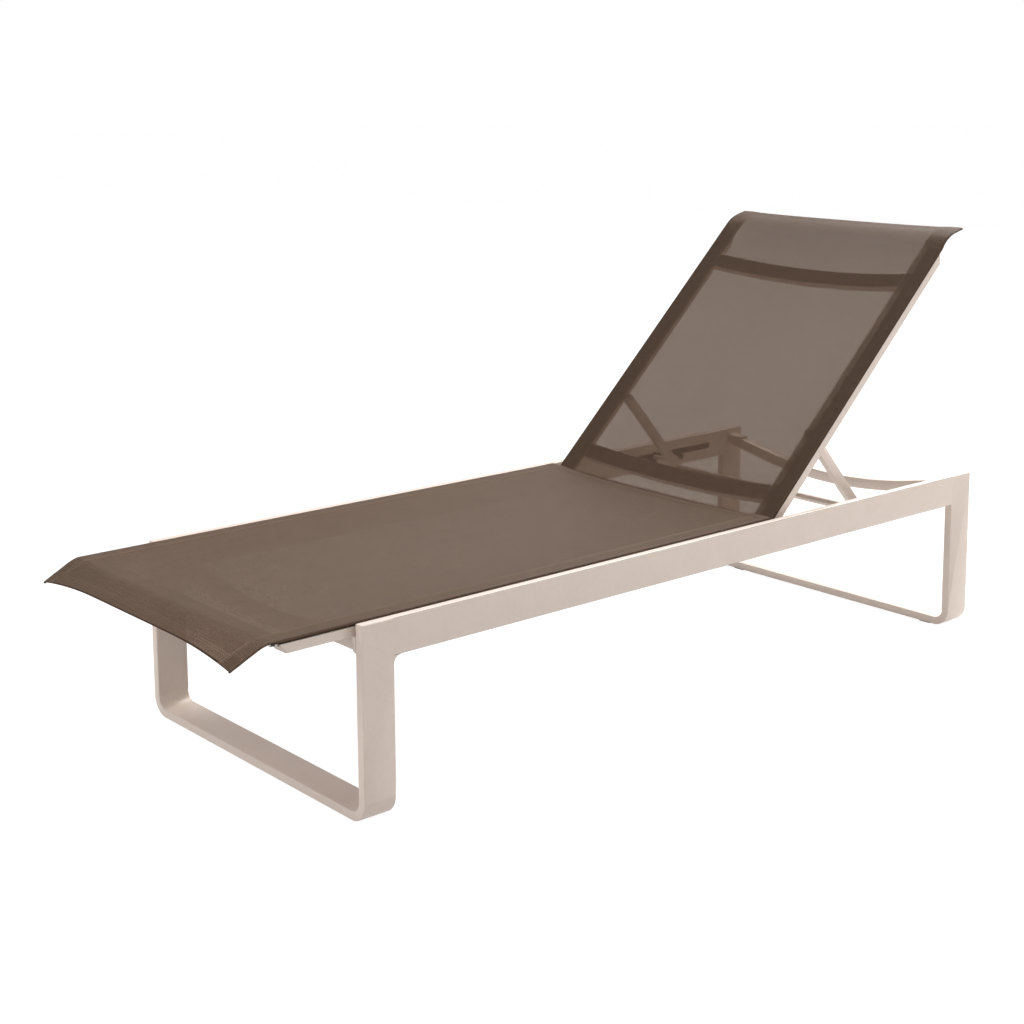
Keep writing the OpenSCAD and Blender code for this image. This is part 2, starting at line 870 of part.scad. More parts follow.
// Bushes that fill the gap between the lugs and the side rails
module pivot_bushes() {
    color(dark_plastic)
        placed()
            for (side = [-1, 1])
                on_side(side)
                    ring_y(pivot_x, slot_z, bush_r, pivot_bolt_r, back_y + seat_gap, inner_y);
}

module pivot_nuts() {
    color(steel)
        placed()
            for (side = [-1, 1])
                on_side(side)
                    ring_y(pivot_x, slot_z, bolt_head_r, pivot_bolt_r,
                           inner_y + tube_wall, inner_y + tube_wall + pivot_nut_h);
}

// Bolts that the struts turn on, fixed in the back rails
module strut_bolts() {
    wall_y = back_y - srail_w + srail_wall;
    head_y = strut_in_y - seat_gap;
    color(steel)
        placed()
            on_back()
                for (side = [-1, 1])
                    on_side(side) {
                        rod_y(strut_at, strut_v, strut_bolt_r, head_y - cut, wall_y + strut_nut_h);
                        rod_y(strut_at, strut_v, strut_head_r, head_y - strut_head_h, head_y);
                    }
}

module strut_spacers() {
    color(dark_plastic)
        placed()
            on_back()
                for (side = [-1, 1])
                    on_side(side)
                        ring_y(strut_at, strut_v, strut_spacer_r, strut_bolt_r,
                               strut_out_y + seat_gap, back_y - srail_w);
}

module strut_nuts() {
    wall_y = back_y - srail_w + srail_wall;
    color(steel)
        placed()
            on_back()
                for (side = [-1, 1])
                    on_side(side)
                        ring_y(strut_at, strut_v, strut_nut_r, strut_bolt_r,
                               wall_y, wall_y + strut_nut_h);
}

// Strut frame

// Upper bolt, slot pin and lower end of a strut as shown, in X and Z
strut_top = [pivot_x + strut_at * cos(back_angle) - strut_v * sin(back_angle),
             slot_z + strut_at * sin(back_angle) + strut_v * cos(back_angle)];
strut_pin = [pin_x(back_angle), slot_z];
strut_end = strut_pin + (strut_pin - strut_top) * strut_past / norm(strut_pin - strut_top);

// Strut from its bolt on the back rail, past its slot pin, down to the cross tube
module strut(side) {
    color(sand)
        placed()
            on_side(side)
                difference() {
                    plate_y(strut_in_y, strut_out_y)
                        round_bar(strut_top, strut_end, strut_w / 2, true);
                    rod_y(strut_top[0], strut_top[1], strut_bolt_r + running_gap,
                          strut_in_y - cut, strut_out_y + cut);
                    rod_y(strut_pin[0], strut_pin[1], slot_pin_r,
                          strut_in_y - cut, strut_out_y + cut);
                }
}

// Tube welded between the struts' lower ends
module cross_tube() {
    color(sand)
        placed()
            ring_y(strut_end[0], strut_end[1], cross_r, cross_r - cross_wall,
                   -strut_in_y, strut_in_y);
}

// Pins welded into the struts, whose outer ends reach into the slots
module slot_pins() {
    color(sand)
        placed()
            for (side = [-1, 1])
                on_side(side)
                    rod_y(strut_pin[0], strut_pin[1], slot_pin_r, strut_in_y, pin_end_y);
}

// Flanged bush on the end of a slot pin, which slides in the slot
module slot_bush(side) {
    flange_y = inner_y - flange_gap;
    color(dark_plastic)
        placed()
            on_side(side)
                difference() {
                    union() {
                        rod_y(strut_pin[0], strut_pin[1], slot_bush_r, flange_y - flange_t,
                              pin_end_y);
                        rod_y(strut_pin[0], strut_pin[1], flange_r, flange_y - flange_t, flange_y);
                    }
                    rod_y(strut_pin[0], strut_pin[1], slot_pin_r, flange_y - flange_t - cut,
                          pin_end_y + cut);
                }
}

side_rail(-1);  // left_side_rail
side_rail(1);  // right_side_rail
front_leg_frame();
rear_leg_frame();
front_cross_bar();
rear_cross_bar();
front_glides();
rear_glides();
rest_pads();
seat_rail(-1);  // left_seat_rail
seat_rail(1);  // right_seat_rail
seat_rail_plugs();
seat_rail_spacers();
seat_rail_screws();
seat_rail_nuts();
seat_spline(-1);  // left_seat_spline
seat_spline(1);  // right_seat_spline
seat_sling();
pivot_bolts();
pivot_bushes();
pivot_nuts();
back_rail(-1);  // left_back_rail
back_rail(1);  // right_back_rail
lower_back_bar();
upper_back_bar();
back_rail_plugs();
back_spline(-1);  // left_back_spline
back_spline(1);  // right_back_spline
back_sling();
strut_bolts();
strut_spacers();
strut_nuts();
strut(-1);  // left_strut
strut(1);  // right_strut
cross_tube();
slot_pins();
slot_bush(-1);  // left_slot_bush
slot_bush(1);  // right_slot_bush
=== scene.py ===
# %% [markdown]
# # A sling sun lounger
# The CAD model gives this lounger its frame, rails, bolts and joints, and it stays as it is.
# This script dresses it: it softens the edges of the painted tubes, hangs the two slings with
# their hems and stitching, and gives every piece the finish of the real one.

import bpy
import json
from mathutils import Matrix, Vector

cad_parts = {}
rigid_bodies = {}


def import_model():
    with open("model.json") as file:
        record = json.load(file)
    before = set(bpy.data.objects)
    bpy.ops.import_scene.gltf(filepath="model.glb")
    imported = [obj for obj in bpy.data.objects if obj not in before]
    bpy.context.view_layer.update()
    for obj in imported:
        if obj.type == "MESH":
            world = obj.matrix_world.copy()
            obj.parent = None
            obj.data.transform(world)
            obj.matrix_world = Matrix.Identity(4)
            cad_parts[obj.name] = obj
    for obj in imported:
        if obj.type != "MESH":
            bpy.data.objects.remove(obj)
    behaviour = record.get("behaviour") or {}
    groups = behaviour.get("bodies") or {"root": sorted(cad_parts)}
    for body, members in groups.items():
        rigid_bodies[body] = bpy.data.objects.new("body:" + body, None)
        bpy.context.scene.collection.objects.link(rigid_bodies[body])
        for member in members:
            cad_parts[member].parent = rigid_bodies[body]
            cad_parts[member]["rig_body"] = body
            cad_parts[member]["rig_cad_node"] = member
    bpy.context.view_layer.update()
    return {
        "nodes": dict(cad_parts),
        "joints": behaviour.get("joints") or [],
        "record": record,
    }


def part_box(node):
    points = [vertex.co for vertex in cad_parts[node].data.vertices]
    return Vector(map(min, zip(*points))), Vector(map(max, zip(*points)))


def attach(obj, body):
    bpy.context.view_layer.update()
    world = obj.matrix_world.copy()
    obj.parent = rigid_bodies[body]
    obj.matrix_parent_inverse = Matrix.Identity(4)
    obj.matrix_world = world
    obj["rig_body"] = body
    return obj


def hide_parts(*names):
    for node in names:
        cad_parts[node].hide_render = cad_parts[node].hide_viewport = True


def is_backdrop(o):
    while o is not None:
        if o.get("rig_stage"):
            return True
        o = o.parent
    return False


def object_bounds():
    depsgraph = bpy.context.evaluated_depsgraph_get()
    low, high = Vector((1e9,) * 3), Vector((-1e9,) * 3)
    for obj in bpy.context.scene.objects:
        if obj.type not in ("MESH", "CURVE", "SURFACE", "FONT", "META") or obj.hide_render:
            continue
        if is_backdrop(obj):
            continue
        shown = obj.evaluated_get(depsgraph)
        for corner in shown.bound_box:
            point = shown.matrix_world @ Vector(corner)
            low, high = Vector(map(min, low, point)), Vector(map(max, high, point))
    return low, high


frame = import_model()

# %% [markdown]
# ## Tools that every cell uses
# Sizes are written in millimetres, as a maker would, and turned to metres by one factor.
# Colours are written as sRGB hex values, because that is what a colour picker shows, and Blender
# wants them linear. A material is a small graph, and one function adds a node with its links.

# %% Units, colours and nodes
import json
import math

import bmesh
import bpy
from mathutils import Matrix, Vector

MM = 0.001
QUARTER_TURN = math.pi / 2
SOFT_ANGLE = math.radians(40)
nodes = frame["nodes"]


def linear(hex_colour):
    """An sRGB hex colour as the linear colour, with alpha, that a shader socket takes."""
    shares = [int(hex_colour[k:k + 2], 16) / 255 for k in (1, 3, 5)]
    return [s / 12.92 if s <= 0.04045 else ((s + 0.055) / 1.055) ** 2.4 for s in shares] + [1.0]


def add_node(tree, kind, inputs=None, **settings):
    """Adds a node. inputs maps a socket to a value, or to another node's output to link."""
    node = tree.nodes.new(kind)
    for name, value in settings.items():
        setattr(node, name, value)
    for socket, value in (inputs or {}).items():
        if isinstance(value, bpy.types.NodeSocket):
            tree.links.new(value, node.inputs[socket])
        else:
            node.inputs[socket].default_value = value
    return node


def new_material(name):
    """An empty node material and its output node."""
    made = bpy.data.materials.new(name)
    made.use_nodes = True
    made.node_tree.nodes.clear()
    return made, made.node_tree, add_node(made.node_tree, "ShaderNodeOutputMaterial")


def select_only(piece):
    """Makes one piece the only selected one, because an operator acts on all that is selected."""
    bpy.ops.object.select_all(action="DESELECT")
    piece.select_set(True)
    bpy.context.view_layer.objects.active = piece


# %% [markdown]
# ## Camera
# The photograph looks at the foot end's left corner from well above the seat, with a longish
# lens. The camera was solved from the frame's straight edges, so the tubes fall on the
# photograph's tubes. The picture is cut low in the frame, which a shift gives without a tilt.

# %% Camera
camera_data = bpy.data.cameras.new("camera")
camera_data.lens = 61.81
camera_data.sensor_width = 36
camera_data.shift_x = 0.0008
camera_data.shift_y = -0.1582
camera = bpy.data.objects.new("camera", camera_data)
camera.location = (-2.33190, -2.63298, 1.25785)
camera.rotation_euler = [math.radians(a) for a in (80.883, 0.279, -40.360)]
bpy.context.scene.collection.objects.link(camera)
bpy.context.scene.camera = camera

# %% [markdown]
# ## Studio
# A catalogue picture of pale furniture is lit by one broad soft lamp above the head end, so the
# tops of the tubes are brightest and the raised back faces away from it. The white room fills the
# sides, a small lamp fills the foot end and another the near side. The white of the background
# comes from the world and the floor as the camera sees them, and not from more light on the
# lounger.

# %% Lamps, world and floor
scene = bpy.context.scene
scene.view_settings.view_transform = "Standard"


def add_softbox(name, place, aim, size, power):
    """A square area lamp that points from its place to a point."""
    lamp = bpy.data.lights.new(name, "AREA")
    lamp.shape = "SQUARE"
    lamp.size = size
    lamp.energy = power
    holder = bpy.data.objects.new(name, lamp)
    holder.location = place
    holder.rotation_euler = (Vector(aim) - Vector(place)).to_track_quat("-Z", "Y").to_euler()
    bpy.context.scene.collection.objects.link(holder)


add_softbox("head_softbox", place=(5.2, 0.9, 5.2), aim=(0.1, 0, 0.3), size=5.5, power=1000)
add_softbox("foot_softbox", place=(-2.4, 0.0, 0.9), aim=(-0.8, 0, 0.2), size=1.2, power=18)
add_softbox("side_softbox", place=(1.6, -3.4, 1.5), aim=(0.5, -0.3, 0.3), size=2.0, power=31)
room_light_level, room_seen_level = 0.25, 1.0
paper_shade, paper_seen_shade, paper_seen_lift = 0.79, 0.16, 0.955

world = bpy.data.worlds.new("white_room")
scene.world = world
world.use_nodes = True
world.node_tree.nodes.clear()
room = world.node_tree
rays = add_node(room, "ShaderNodeLightPath")
seen = add_node(room, "ShaderNodeMath", {0: rays.outputs["Is Camera Ray"],
                                         1: rays.outputs["Is Glossy Ray"]}, operation="MAXIMUM")
seen = add_node(room, "ShaderNodeMath",
                {0: seen.outputs[0], 1: rays.outputs["Is Transmission Ray"]}, operation="MAXIMUM")
room_strength = add_node(room, "ShaderNodeMapRange",
                         {"Value": seen.outputs[0], "To Min": room_light_level,
                          "To Max": room_seen_level})
room_light = add_node(room, "ShaderNodeBackground", {"Color": (1, 1, 1, 1),
                                                     "Strength": room_strength.outputs[0]})
add_node(room, "ShaderNodeOutputWorld", {"Surface": room_light.outputs[0]})

bpy.ops.object.select_all(action="DESELECT")
bpy.ops.mesh.primitive_plane_add(size=60)
floor = bpy.context.object
floor.name = "floor"
paper, tree, output = new_material("white_paper_sweep")
rays = add_node(tree, "ShaderNodeLightPath")
seen = add_node(tree, "ShaderNodeMath", {0: rays.outputs["Is Camera Ray"],
                                         1: rays.outputs["Is Glossy Ray"]}, operation="MAXIMUM")
lift = add_node(tree, "ShaderNodeMath", {0: seen.outputs[0], 1: paper_seen_lift},
                operation="MULTIPLY")
shade = add_node(tree, "ShaderNodeMapRange", {"Value": seen.outputs[0], "To Min": paper_shade,
                                              "To Max": paper_seen_shade})
matt = add_node(tree, "ShaderNodeBsdfDiffuse", {"Color": shade.outputs[0]})
glow = add_node(tree, "ShaderNodeEmission", {"Strength": lift.outputs[0]})
both = add_node(tree, "ShaderNodeAddShader", {0: matt.outputs[0], 1: glow.outputs[0]})
tree.links.new(both.outputs[0], output.inputs["Surface"])
floor.data.materials.append(paper)
floor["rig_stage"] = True

# %% [markdown]
# ## Finishes of the hard pieces
# The tubes are aluminium with a sand-coloured powder coat. The powder melts into a thick even
# skin with a faint orange peel, so it looks dense and slightly satin, never metallic. Its peel is
# under a millimetre across, too fine to show at this distance, so the bump is kept weak and a
# broader, barely visible cloudiness stands for the uneven thickness of the coat.

# %% Powder coat
def powder_coat():
    """Polyester powder coat on aluminium, sand: satin, with orange peel and a little cloudiness."""
    made, tree, output = new_material("powder_coated_aluminium")
    place = add_node(tree, "ShaderNodeTexCoord")
    cloud_size, peel_size, dust_size = 70 * MM, 1.2 * MM, 9 * MM
    cloud = add_node(tree, "ShaderNodeTexNoise",
                     {"Vector": place.outputs["Object"], "Scale": 1 / cloud_size, "Detail": 3.0})
    dust = add_node(tree, "ShaderNodeTexNoise",
                    {"Vector": place.outputs["Object"], "Scale": 1 / dust_size, "Detail": 5.0})
    mixed = add_node(tree, "ShaderNodeMath", {0: cloud.outputs[0], 1: dust.outputs[0]},
                     operation="ADD")
    spread_tone = add_node(tree, "ShaderNodeMapRange",
                           {"Value": mixed.outputs[0], "From Min": 0.7, "From Max": 1.3})
    coat = add_node(tree, "ShaderNodeValToRGB", {0: spread_tone.outputs[0]})
    coat.color_ramp.elements[0].color = linear("#D5C5B9")
    coat.color_ramp.elements[1].color = linear("#D9C9BE")
    gloss = add_node(tree, "ShaderNodeMapRange",
                     {"Value": dust.outputs[0], "To Min": 0.36, "To Max": 0.5})
    peel = add_node(tree, "ShaderNodeTexNoise",
                    {"Vector": place.outputs["Object"], "Scale": 1 / peel_size})
    bump = add_node(tree, "ShaderNodeBump", {"Height": peel.outputs[0], "Strength": 0.12,
                                             "Distance": 0.1 * MM})
    skin = add_node(tree, "ShaderNodeBsdfPrincipled",
                    {"Base Color": coat.outputs[0], "Roughness": gloss.outputs[0],
                     "Normal": bump.outputs[0], "IOR": 1.5})
    tree.links.new(skin.outputs[0], output.inputs["Surface"])
    return made


sand_coat = powder_coat()

# %% [markdown]
# The glides, spacers and bushes are moulded nylon, dull and nearly black. The end plugs and the
# rest pads are the same plastic in the frame's colour. The splines in the slings' edges are
# extruded white rods. Bolts, nuts and screws are plated steel, bright but softly clouded. The
# tubes' insides are the bare metal that the coat doesn't reach, coloured dark grey as painted
# shade.

# %% Plastics and steel
def moulded_plastic(name, dark, light, roughness):
    """Injection-moulded nylon with the fine spark texture of its mould."""
    made, tree, output = new_material(name)
    place = add_node(tree, "ShaderNodeTexCoord")
    spark_size, mottle_size = 0.8 * MM, 14 * MM
    mottle = add_node(tree, "ShaderNodeTexNoise",
                      {"Vector": place.outputs["Object"], "Scale": 1 / mottle_size, "Detail": 4.0})
    shade = add_node(tree, "ShaderNodeValToRGB", {0: mottle.outputs[0]})
    shade.color_ramp.elements[0].color = linear(dark)
    shade.color_ramp.elements[1].color = linear(light)
    spark = add_node(tree, "ShaderNodeTexNoise",
                     {"Vector": place.outputs["Object"], "Scale": 1 / spark_size})
    bump = add_node(tree, "ShaderNodeBump", {"Height": spark.outputs[0], "Strength": 0.25,
                                             "Distance": 0.1 * MM})
    skin = add_node(tree, "ShaderNodeBsdfPrincipled",
                    {"Base Color": shade.outputs[0], "Roughness": roughness,
                     "Normal": bump.outputs[0], "IOR": 1.53})
    tree.links.new(skin.outputs[0], output.inputs["Surface"])
    return made


def zinc_plate():
    """Zinc-plated steel: metallic, with the cloudy grain of the plating."""
    made, tree, output = new_material("zinc_plated_steel")
    place = add_node(tree, "ShaderNodeTexCoord")
    cloud_size = 2.5 * MM
    cloud = add_node(tree, "ShaderNodeTexNoise",
                     {"Vector": place.outputs["Object"], "Scale": 1 / cloud_size, "Detail": 6.0})
    shade = add_node(tree, "ShaderNodeValToRGB", {0: cloud.outputs[0]})
    shade.color_ramp.elements[0].color = linear("#9A9A98")
    shade.color_ramp.elements[1].color = linear("#C4C4C2")
    rough = add_node(tree, "ShaderNodeMapRange",
                     {"Value": cloud.outputs[0], "To Min": 0.25, "To Max": 0.45})
    skin = add_node(tree, "ShaderNodeBsdfPrincipled",
                    {"Base Color": shade.outputs[0], "Roughness": rough.outputs[0],
                     "Metallic": 1.0})
    tree.links.new(skin.outputs[0], output.inputs["Surface"])
    return made


def mill_finish():
    """Extruded aluminium as it leaves the die, with fine lines along it, coloured dark grey as
    painted shade.
    """
    made, tree, output = new_material("shaded_bore_aluminium")
    place = add_node(tree, "ShaderNodeTexCoord")
    die_line, die_length = 0.8 * MM, 200 * MM
    stretched = add_node(tree, "ShaderNodeVectorMath",
                         {0: place.outputs["Object"],
                          1: (1 / die_length, 1 / die_line, 1 / die_line)},
                         operation="MULTIPLY")
    lines = add_node(tree, "ShaderNodeTexNoise",
                     {"Vector": stretched.outputs[0], "Scale": 1.0, "Detail": 3.0})
    shade = add_node(tree, "ShaderNodeValToRGB", {0: lines.outputs[0]})
    # The dark grey stands in for the shade inside a tube: painted shade on bare metal.
    shade.color_ramp.elements[0].color = linear("#57524D")
    shade.color_ramp.elements[1].color = linear("#6E6862")
    rough = add_node(tree, "ShaderNodeMapRange",
                     {"Value": lines.outputs[0], "To Min": 0.45, "To Max": 0.6})
    skin = add_node(tree, "ShaderNodeBsdfPrincipled",
                    {"Base Color": shade.outputs[0], "Roughness": rough.outputs[0],
                     "Metallic": 1.0})
    tree.links.new(skin.outputs[0], output.inputs["Surface"])
    return made


shaded_bore_metal = mill_finish()
black_nylon = moulded_plastic("black_nylon", "#1E1C1B", "#2B2927", 0.55)
pale_nylon = moulded_plastic("sand_nylon", "#BDB1A6", "#C9BEB3", 0.5)
white_rod = moulded_plastic("white_extruded_rod", "#DCD8D0", "#E8E5DE", 0.4)
steel = zinc_plate()

finish_of_slot = {"sand_coat": sand_coat, "dark_plastic": black_nylon, "pale_plastic": pale_nylon,
                  "spline_rod": white_rod, "fastener_steel": steel}
for part in frame["record"]["subparts"]:
    if part["material_slot"] in finish_of_slot:
        cad_node = nodes[part["node"]]
        cad_node.data.materials.clear()
        cad_node.data.materials.append(finish_of_slot[part["material_slot"]])

# %% [markdown]
# ## Softened tubes
# Extruded and bent aluminium tube has small round corners, and the powder coat rounds them a
# little more. These corners catch a thin line of light, without which the frame looks like
# folded card. Each CAD piece is copied, its loose triangles are merged, and only its long outer
# corners are bevelled. Where two tubes are welded flush, the corners there stay sharp.

# %% Copying and bevelling a CAD piece
TOUCH = 0.02 * MM
FLAT_ANGLE, SHARP_ANGLE, SMOOTH_ANGLE = [math.radians(a) for a in (0.5, 50, 32)]


def near(a, b):
    """Are two lengths the same, as far as the CAD mesh can show?"""
    return abs(a - b) < TOUCH


def softened(node_name, body, radius, is_corner, local=lambda p: p):
    """A copy of a CAD piece with its chosen corners bevelled. is_corner gets an edge's two ends."""
    select_only(nodes[node_name])
    bpy.ops.object.duplicate()
    piece = bpy.context.object
    piece.name = node_name + "_shell"
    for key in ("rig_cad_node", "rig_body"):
        del piece[key]
    piece.parent = None
    bpy.ops.object.mode_set(mode="EDIT")
    bpy.ops.mesh.select_mode(type="EDGE")
    bpy.ops.mesh.select_all(action="SELECT")
    bpy.ops.mesh.remove_doubles(threshold=TOUCH / 4)
    bpy.ops.mesh.dissolve_limited(angle_limit=FLAT_ANGLE)
    bpy.ops.mesh.select_all(action="DESELECT")
    mesh = bmesh.from_edit_mesh(piece.data)
    corners = [e for e in mesh.edges
               if len(e.link_faces) == 2 and e.calc_face_angle() > SHARP_ANGLE
               and is_corner(local(e.verts[0].co), local(e.verts[1].co))]
    count = len(corners)
    for edge in corners:
        edge.select_set(True)
    bmesh.update_edit_mesh(piece.data)
    bpy.ops.mesh.bevel(offset=radius, segments=3, profile=0.5, affect="EDGES", clamp_overlap=True)
    bpy.ops.object.mode_set(mode="OBJECT")
    select_only(piece)
    bpy.ops.object.shade_smooth_by_angle(angle=SMOOTH_ANGLE)
    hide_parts(node_name)
    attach(piece, body)
    print(piece.name, count, "corners bevelled,", len(piece.data.polygons), "faces")
    return piece


# %% [markdown]
# The side rails and the legs are flat tube with a corner radius of about two millimetres. A
# rail's long corners run from leg to leg. A leg's corners follow the whole bent outline, except
# beside the side rail, where the weld has been ground flush.

# %% Side rails and legs
tube_corner = 1.8 * MM
wall_margin = 0.5 * MM
weld_fillet = 16 * MM


def bare_bore(piece, low, high):
    """Gives the faces inside a tube, and the cut edges of its slot, bare metal in dark grey,
    painted shade.
    """
    # The tube's inside gets the dark grey painted-shade metal.
    piece.data.materials.append(shaded_bore_metal)
    for face in piece.data.polygons:
        if all(low[k] + wall_margin < face.center[k] < high[k] - wall_margin for k in (1, 2)):
            face.material_index = 1


for side in ("left", "right"):
    low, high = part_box(side + "_side_rail")

    def rail_corner(a, b, low=low, high=high):
        """Do both ends lie on the same long corner of the side rail?"""
        return (near(a.y, b.y) and near(a.z, b.z) and (near(a.y, low.y) or near(a.y, high.y))
                and (near(a.z, low.z) or near(a.z, high.z)))

    shell = softened(side + "_side_rail", "frame", tube_corner, rail_corner)
    bare_bore(shell, low, high)

rail_low, rail_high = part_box("right_side_rail")
for end, weld_x in (("front", rail_low.x), ("rear", rail_high.x)):
    low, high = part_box(end + "_leg_frame")
    if end == "front":
        high = Vector((weld_x, high.y, high.z))

    def leg_corner(a, b, low=low, high=high, weld_x=weld_x):
        """Does the edge follow the leg's outline, clear of the weld to the side rail?"""
        if near(a.z, high.z) and near(b.z, high.z) and near(a.y, b.y):
            return True
        if not near(a.x, b.x) or not (near(a.x, low.x) or near(a.x, high.x)):
            return False
        return not near(a.x, weld_x) or max(a.z, b.z) < rail_low.z - weld_fillet + TOUCH

    softened(end + "_leg_frame", "frame", tube_corner, leg_corner)

# %% [markdown]
# The cross bars bow down between the legs. Their corners follow the bow, so an edge counts when
# it lies in the bar's front or back face and isn't the end that meets the leg.

# %% Cross bars
bar_corner = 1.5 * MM
middle_half = 200 * MM
for end in ("front", "rear"):
    span = [v.co.x for v in nodes[end + "_cross_bar"].data.vertices if abs(v.co.y) < middle_half]
    faces_x = (min(span), max(span))

    def bar_edge(a, b, faces_x=faces_x):
        """Does the edge follow the bow, and not the bar's end?"""
        return (near(a.x, b.x) and (near(a.x, faces_x[0]) or near(a.x, faces_x[1]))
                and not near(a.y, b.y))

    softened(end + "_cross_bar", "frame", bar_corner, bar_edge)

# %% [markdown]
# The seat rails are extrusions with tighter corners, because a die gives crisper edges than a
# bend. The back rails and their bars lie in the plane of the raised back, so their corners are
# found in that plane's own directions: along the rail, across the lounger and square to it.

# %% Sling rails, back bars and struts
rail_edge_radius = 0.8 * MM
strut_bend_facet = 30 * MM
for side in ("left", "right"):
    low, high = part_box(side + "_seat_rail")

    def seat_rail_corner(a, b, low=low, high=high):
        """Do both ends lie on a long outer corner of the seat rail?"""
        return (near(a.y, b.y) and near(a.z, b.z) and (near(a.y, low.y) or near(a.y, high.y))
                and (near(a.z, low.z) or near(a.z, high.z)))

    softened(side + "_seat_rail", "frame", rail_edge_radius, seat_rail_corner)

recline = next(j for j in frame["joints"] if j["name"] == "backrest_recline")
pivot = Vector(recline["pos_m"])
back_angle = math.radians(43.6)
along_back = Vector((math.cos(back_angle), 0, math.sin(back_angle)))
off_back = Vector((-math.sin(back_angle), 0, math.cos(back_angle)))


def in_back(point):
    """A point in the back's directions: x along it from the pivot, y across, z off its plane."""
    from_pivot = point - pivot
    return Vector((from_pivot.dot(along_back), point.y, from_pivot.dot(off_back)))


def back_box(node_name):
    """Lowest and highest corner of a CAD piece in the back's own directions."""
    points = [in_back(v.co) for v in nodes[node_name].data.vertices]
    return (Vector([min(p[k] for p in points) for k in range(3)]),
            Vector([max(p[k] for p in points) for k in range(3)]))


back_high = back_box("right_back_rail")[1]
seat_low, seat_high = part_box("right_seat_rail")
rail_width, rail_height = seat_high.y - seat_low.y, seat_high.z - seat_low.z
for side in ("left", "right"):
    low, high = back_box(side + "_back_rail")
    under = high.z - rail_height

    def back_rail_corner(a, b, low=low, high=high, under=under):
        """Do both ends lie on a long outer corner of the back rail?"""
        return (near(a.y, b.y) and near(a.z, b.z) and (near(a.y, low.y) or near(a.y, high.y))
                and (near(a.z, under) or near(a.z, high.z)))

    softened(side + "_back_rail", "backrest", rail_edge_radius, back_rail_corner, in_back)

for level in ("lower", "upper"):
    low, high = back_box(level + "_back_bar")

    def back_bar_edge(a, b, low=low, high=high):
        """Does the edge follow the bow of a back bar, and not its end?"""
        return near(a.x, b.x) and (near(a.x, low.x) or near(a.x, high.x)) and not near(a.y, b.y)

    softened(level + "_back_bar", "backrest", bar_corner, back_bar_edge, in_back)

for side in ("left", "right"):
    low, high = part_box(side + "_strut")

    def strut_corner(a, b, low=low, high=high):
        """Does the edge lie along the strut's outline, on either flat side?"""
        return (near(a.y, b.y) and (near(a.y, low.y) or near(a.y, high.y))
                and (a - b).length > strut_bend_facet)

    softened(side + "_strut", "strut_frame", rail_edge_radius, strut_corner)

# %% [markdown]
# Each spline stands a little out of its rail, in a black sleeve that keeps its cut end from the
# cloth. The sleeve is an open cylinder that Solidify gives its wall. Under each seat spline a
# small cap closes the seat rail's outer chamber, cut to the slant of the rail's end.

# %% Sleeves and outer caps
SLEEVE_R, SLEEVE_WALL, SLEEVE_INSET = 3.35 * MM, 0.35 * MM, 1.2 * MM
CAP_T, CAP_EDGE = 2.5 * MM, 0.4 * MM
chamber_in, chamber_top = 11 * MM, 9.4 * MM
undercut = 21 * MM


def sleeve(name, body, rail_end, spline_end, turn):
    """A black sleeve round the standing end of a spline, between two points on its axis."""
    bpy.ops.object.select_all(action="DESELECT")
    bpy.ops.mesh.primitive_cylinder_add(vertices=24, radius=SLEEVE_R,
                                        depth=(spline_end - rail_end).length,
                                        end_fill_type="NOTHING",
                                        location=(rail_end + spline_end) / 2,
                                        rotation=(0, turn, 0))
    piece = bpy.context.object
    piece.name = name
    bpy.ops.object.modifier_add(type="SOLIDIFY")
    piece.modifiers[0].thickness = SLEEVE_WALL
    piece.modifiers[0].offset = -1
    bpy.ops.object.modifier_apply(modifier=piece.modifiers[0].name)
    bpy.ops.object.transform_apply(location=True, rotation=True, scale=True)
    bpy.ops.object.shade_smooth_by_angle(angle=SOFT_ANGLE)
    piece.data.materials.append(black_nylon)
    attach(piece, body)
    return piece


def outer_cap(name, y, sign, end_x, top_z, low_z):
    """A slanted cap on a seat rail's foot end, over the chamber under the spline."""
    share = (top_z - chamber_top - low_z) / (top_z - low_z)
    high_z = top_z - chamber_top
    bpy.ops.object.select_all(action="DESELECT")
    bpy.ops.mesh.primitive_cube_add(size=1, scale=(CAP_T, chamber_in, high_z - low_z),
                                    location=(end_x + undercut - CAP_T / 2,
                                              y - sign * chamber_in / 2,
                                              (high_z + low_z) / 2))
    piece = bpy.context.object
    piece.name = name
    bpy.ops.object.transform_apply(location=True, rotation=True, scale=True)
    bpy.ops.object.mode_set(mode="EDIT")
    bpy.ops.mesh.select_all(action="DESELECT")
    mesh = bmesh.from_edit_mesh(piece.data)
    for vertex in mesh.verts:
        vertex.select_set(vertex.co.z > (high_z + low_z) / 2)
    bmesh.update_edit_mesh(piece.data)
    bpy.ops.transform.translate(value=(-undercut * share, 0, 0))
    bpy.ops.mesh.select_all(action="SELECT")
    bpy.ops.mesh.bevel(offset=CAP_EDGE, segments=2, affect="EDGES")
    bpy.ops.object.mode_set(mode="OBJECT")
    bpy.ops.object.shade_smooth_by_angle(angle=SOFT_ANGLE)
    piece.data.materials.append(pale_nylon)
    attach(piece, "frame")
    return piece


